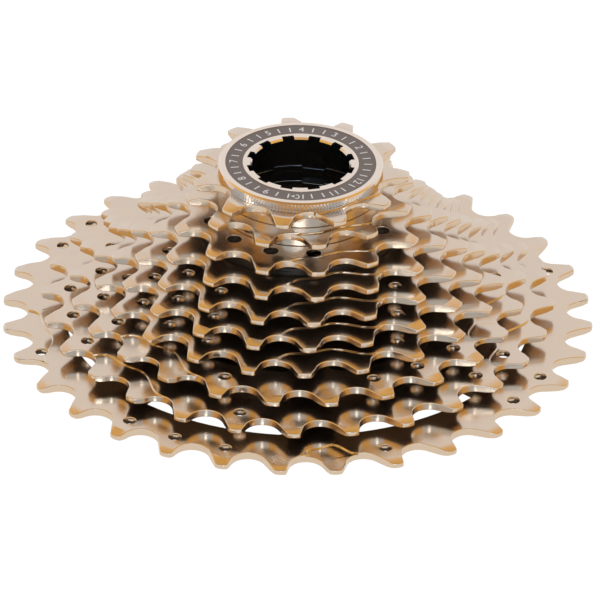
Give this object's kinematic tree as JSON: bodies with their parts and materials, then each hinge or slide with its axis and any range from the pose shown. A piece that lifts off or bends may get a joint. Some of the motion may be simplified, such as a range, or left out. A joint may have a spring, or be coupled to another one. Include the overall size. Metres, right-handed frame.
{
  "type": "bicycle cassette sprocket",
  "caption": "Stack of toothed chain sprockets of stepped size on a splined bore, with resin spacers, rivets and a threaded lock ring on top.",
  "frame": {"origin": "centre of the bore at the back face of the largest sprocket", "axes": "+Z along the hub axis, from the largest sprocket to the lock ring; +X to the right seen from the front, where the narrow key is"},
  "size_m": [0.1334, 0.1334, 0.0403],
  "materials": {
    "plated_steel": "satin nickel plate",
    "black_resin": "moulded, matte",
    "rivet_steel": "drawn steel",
    "ring_steel": "polished plate with a dark band"
  },
  "bodies": {
    "riveted_cluster": {"sprocket_32t": "plated_steel", "sprocket_28t": "plated_steel", "sprocket_25t": "plated_steel", "sprocket_22t": "plated_steel", "sprocket_20t": "plated_steel", "sprocket_18t": "plated_steel", "sprocket_16t": "plated_steel", "spacer_32_28": "black_resin", "spacer_28_25": "black_resin", "spacer_25_22": "black_resin", "spacer_22_20": "black_resin", "spacer_20_18": "black_resin", "spacer_18_16": "black_resin", "rivet_1": "rivet_steel", "rivet_2": "rivet_steel", "rivet_3": "rivet_steel"},
    "loose_14t": {"sprocket_14t": "plated_steel", "spacer_16_14": "black_resin"},
    "loose_12t": {"sprocket_12t": "plated_steel"},
    "loose_11t": {"sprocket_11t": "plated_steel"},
    "ring_washer": {"lock_washer": "ring_steel"},
    "ring": {"lock_ring": "ring_steel"}
  },
  "joints": [
    {"name": "lift_14t", "type": "slide", "parent": "riveted_cluster", "child": "loose_14t", "axis": [0, 0, 1], "range_m": [0, 0.012]},
    {"name": "lift_12t", "type": "slide", "parent": "loose_14t", "child": "loose_12t", "axis": [0, 0, 1], "range_m": [0, 0.012]},
    {"name": "lift_11t", "type": "slide", "parent": "loose_12t", "child": "loose_11t", "axis": [0, 0, 1], "range_m": [0, 0.012]},
    {"name": "lock_ring_lift", "type": "slide", "parent": "loose_11t", "child": "ring_washer", "axis": [0, 0, 1], "range_m": [0, 0.0054]},
    {"name": "lock_ring_turn", "type": "hinge", "parent": "ring_washer", "child": "ring", "pos_m": [0, 0, 0.038], "axis": [0, 0, 1], "range_deg": [0, 1800]}
  ],
  "couplings": [
    {"joint": "lock_ring_lift", "follows": "lock_ring_turn", "m_per_rad": 0.00016839}
  ]
}
